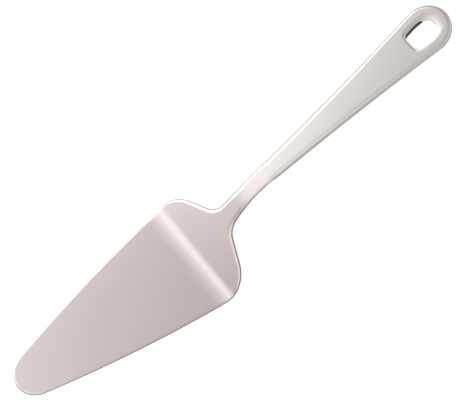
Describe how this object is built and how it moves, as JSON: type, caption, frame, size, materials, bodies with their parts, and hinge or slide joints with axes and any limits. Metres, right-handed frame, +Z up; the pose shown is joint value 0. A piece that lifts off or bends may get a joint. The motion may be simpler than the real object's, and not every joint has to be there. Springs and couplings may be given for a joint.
{
  "type": "pizza server",
  "caption": "Flat wedge-shaped steel serving blade with a cranked shoulder and narrow neck, welded to a tapered plate handle with a dished hanging hole.",
  "frame": {"origin": "bottom centre of the server as it lies at rest on a table, on the heel of its blade and the end of its handle", "axes": "+X along the server from the blade's tip to the handle's end, +Y across it, +Z up, so that the food side faces up"},
  "size_m": [0.2786, 0.0636, 0.0326],
  "materials": {
    "blade_steel": "satin stainless, fine even grain along the server, polished round edges",
    "handle_steel": "satin stainless, fine even grain along the server, polished round edges and hole rim"
  },
  "bodies": {
    "root": {"blade": "blade_steel", "handle": "handle_steel"}
  },
  "joints": []
}
